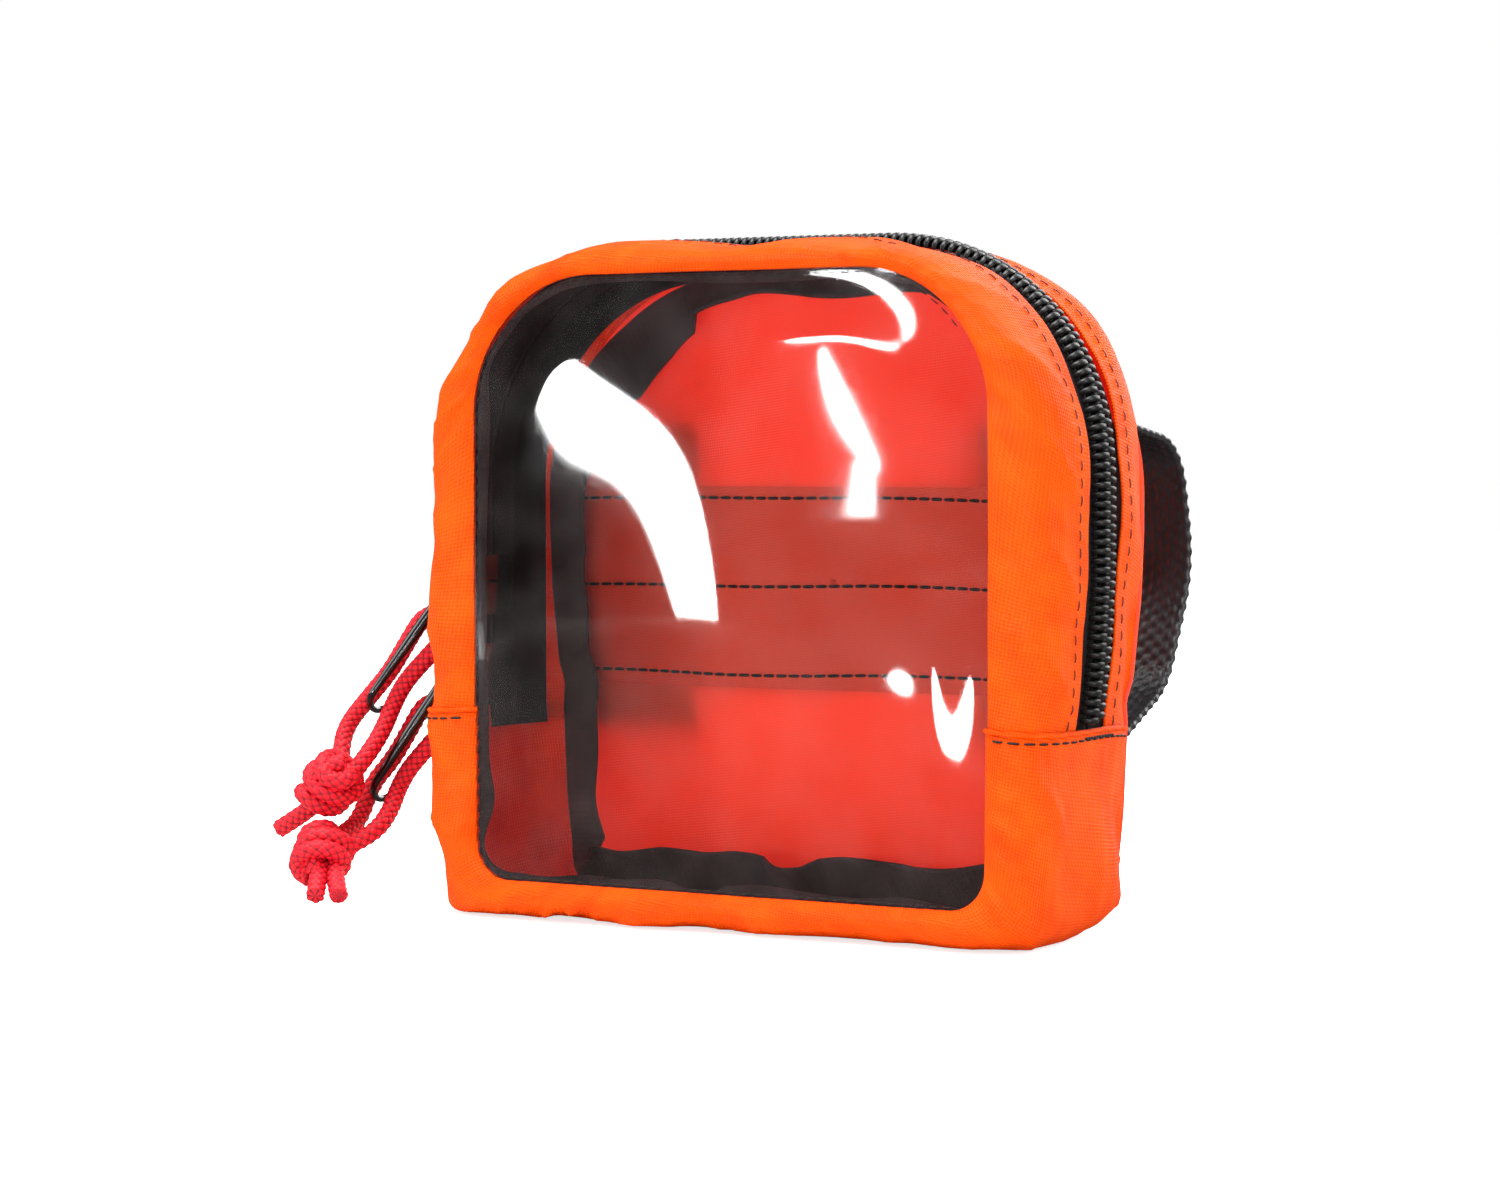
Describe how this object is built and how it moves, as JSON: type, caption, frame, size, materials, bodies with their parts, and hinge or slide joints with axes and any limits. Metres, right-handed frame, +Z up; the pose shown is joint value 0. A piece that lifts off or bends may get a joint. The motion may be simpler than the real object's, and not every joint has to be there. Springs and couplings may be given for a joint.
{
  "type": "first aid kit",
  "caption": "Small soft zipped pouch with a clear front window, bound seams, sliders with knotted cord pulls and webbing belt loops on the back.",
  "frame": {"origin": "middle of the base, in the plane the bag stands on", "axes": "+X along the width, to the right seen from the window side; +Y from the window towards the belt loops; +Z up"},
  "size_m": [0.1661, 0.0861, 0.1212],
  "materials": {
    "orange_cloth": "coated plain-woven nylon, slight sheen",
    "clear_film": "clear flexible PVC, glossy",
    "binding_tape": "ribbed grosgrain",
    "zipper_tape": "fine woven polyester",
    "zipper_coil": "polished nylon coil",
    "webbing": "coarse woven polypropylene, slight gloss",
    "slider_metal": "gloss black enamel",
    "pull_metal": "gloss black enamel",
    "red_cord": "round braided nylon"
  },
  "bodies": {
    "bag": {"back_panel": "orange_cloth", "back_reinforcement_band": "orange_cloth", "back_gusset_strip": "orange_cloth", "lower_gusset": "orange_cloth", "back_zipper_tape": "zipper_tape", "back_zipper_coil": "zipper_coil", "back_seam_binding": "binding_tape", "belt_loop_right": "webbing", "belt_loop_left": "webbing", "window_film_lower": "clear_film", "front_seam_binding_lower": "binding_tape"},
    "front_panel": {"front_gusset_strip": "orange_cloth", "front_zipper_tape": "zipper_tape", "front_zipper_coil": "zipper_coil", "window_film_upper": "clear_film", "front_seam_binding_upper": "binding_tape"},
    "upper_slider": {"upper_slider_body": "slider_metal", "upper_slider_crown": "slider_metal"},
    "lower_slider": {"lower_slider_body": "slider_metal", "lower_slider_crown": "slider_metal"},
    "upper_pull": {"upper_pull_tab": "pull_metal", "upper_pull_cord": "red_cord", "upper_pull_knot": "red_cord"},
    "lower_pull": {"lower_pull_tab": "pull_metal", "lower_pull_cord": "red_cord", "lower_pull_knot": "red_cord"}
  },
  "joints": [
    {"name": "panel_swing", "type": "hinge", "parent": "bag", "child": "front_panel", "pos_m": [0, -0.022, 0.03715], "axis": [1, 0, 0], "range_deg": [0, 75]},
    {"name": "upper_slider_travel", "type": "slide", "parent": "bag", "child": "upper_slider", "axis": [0, 0, 1], "range_m": [0, 0.014]},
    {"name": "lower_slider_travel", "type": "slide", "parent": "bag", "child": "lower_slider", "axis": [0, 0, 1], "range_m": [0, 0.0006]},
    {"name": "upper_pull_swing", "type": "hinge", "parent": "upper_slider", "child": "upper_pull", "pos_m": [-0.0707, 0.001, 0.0561], "axis": [0, 0.9781, -0.2079], "range_deg": [0, 80]},
    {"name": "lower_pull_swing", "type": "hinge", "parent": "lower_slider", "child": "lower_pull", "pos_m": [-0.0707, 0.001, 0.0399], "axis": [0, 0.9781, -0.2079], "range_deg": [0, 80]}
  ],
  "couplings": [
    {"joint": "upper_pull_swing", "follows": "lower_pull_swing", "ratio": 1}
  ]
}
